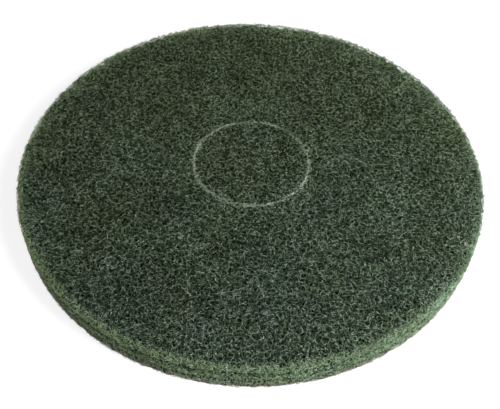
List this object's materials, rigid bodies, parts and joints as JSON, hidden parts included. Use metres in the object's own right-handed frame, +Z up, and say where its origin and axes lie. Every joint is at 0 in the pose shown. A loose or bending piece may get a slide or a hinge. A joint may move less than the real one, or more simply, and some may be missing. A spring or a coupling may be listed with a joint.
{
  "type": "floor polishing pad",
  "caption": "Round non-woven nylon pad for a rotary floor machine, with a layered cut edge and a die-cut centre plug still in place.",
  "frame": {"origin": "middle of the underside, where the pad rests on the floor", "axes": "+Z up through the pad's thickness and along the axis it spins about; X and Y lie in the underside, and the pad is round, so neither is special"},
  "size_m": [0.33, 0.33, 0.022],
  "materials": {
    "green_web": "open non-woven nylon web, dark green, bonded with satin resin that holds fine grit"
  },
  "bodies": {
    "root": {"floor_pad": "green_web"}
  },
  "joints": []
}
